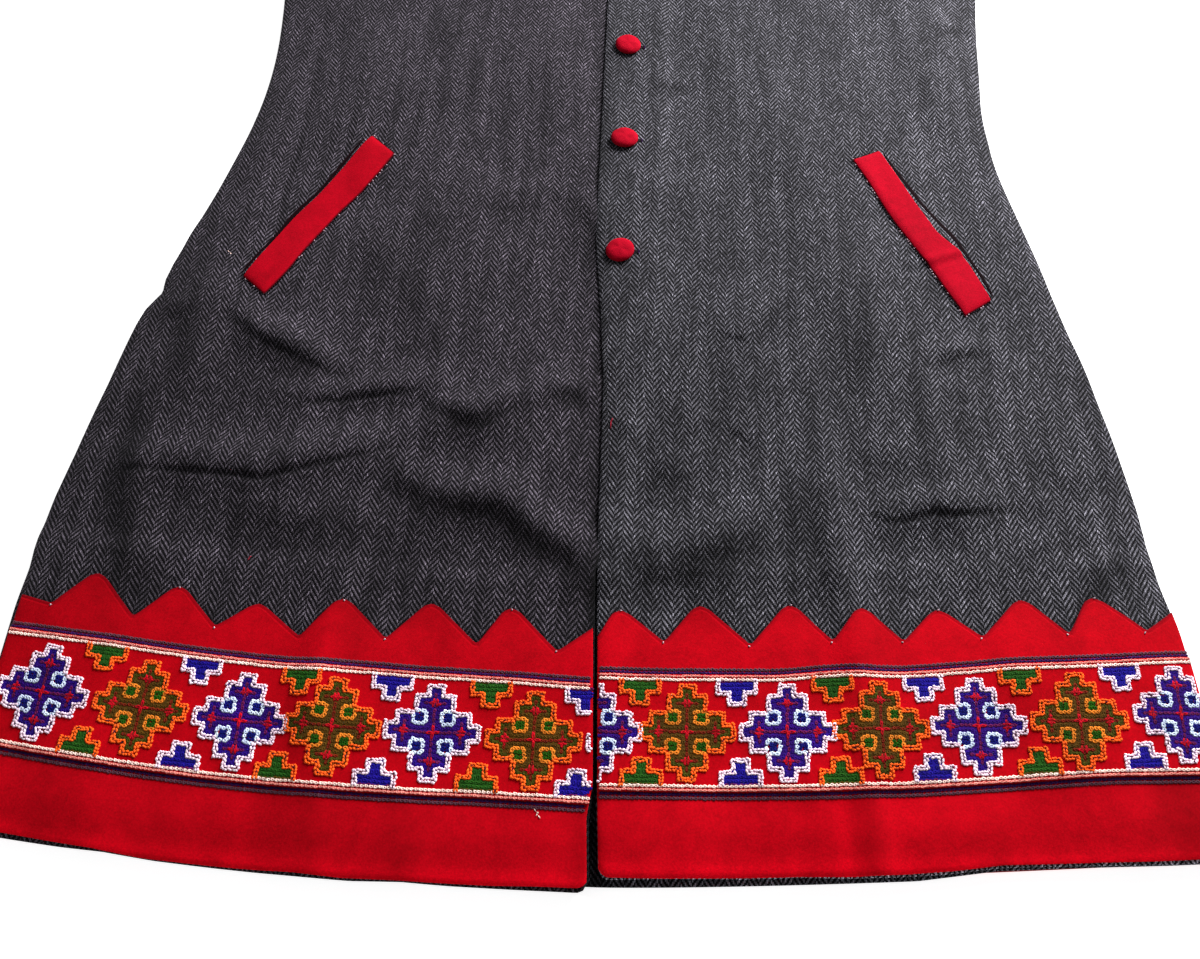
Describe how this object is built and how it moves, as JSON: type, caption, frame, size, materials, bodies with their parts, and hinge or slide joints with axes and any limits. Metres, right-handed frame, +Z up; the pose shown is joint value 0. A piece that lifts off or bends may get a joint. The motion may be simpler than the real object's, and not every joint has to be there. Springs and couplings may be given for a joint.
{
  "type": "long sleeveless tweed coat-vest with an embroidered hem",
  "caption": "Long sleeveless herringbone coat-vest laid flat, with a red hem band, embroidered cross strip, slanted red pocket welts and cloth buttons.",
  "frame": {"origin": "centre of the bounding box at the surface the vest lies on", "axes": "+Y from the hem to the neck, +X towards the over front's side seam, +Z up from the surface, out of the fronts"},
  "size_m": [0.569, 0.96, 0.0131],
  "materials": {
    "tweed": "charcoal herringbone wool twill, dry and slightly hairy",
    "red_cloth": "fulled red wool cloth with a short nap",
    "embroidery": "red cloth covered with wool chain stitch crosses",
    "braid": "dark wool braid",
    "button_cloth": "red wool cloth drawn over a dome"
  },
  "bodies": {
    "root": {"back_panel": "tweed", "front_under": "tweed", "front_over": "tweed", "band_back": "red_cloth", "band_under": "red_cloth", "band_over": "red_cloth", "strip_back": "embroidery", "strip_under": "embroidery", "strip_over": "embroidery", "braid_lower_back": "braid", "braid_lower_under": "braid", "braid_lower_over": "braid", "braid_upper_back": "braid", "braid_upper_under": "braid", "braid_upper_over": "braid", "welt_under": "red_cloth", "welt_over": "red_cloth", "button_1": "button_cloth", "button_2": "button_cloth", "button_3": "button_cloth", "button_4": "button_cloth", "button_5": "button_cloth", "button_6": "button_cloth"}
  },
  "joints": []
}
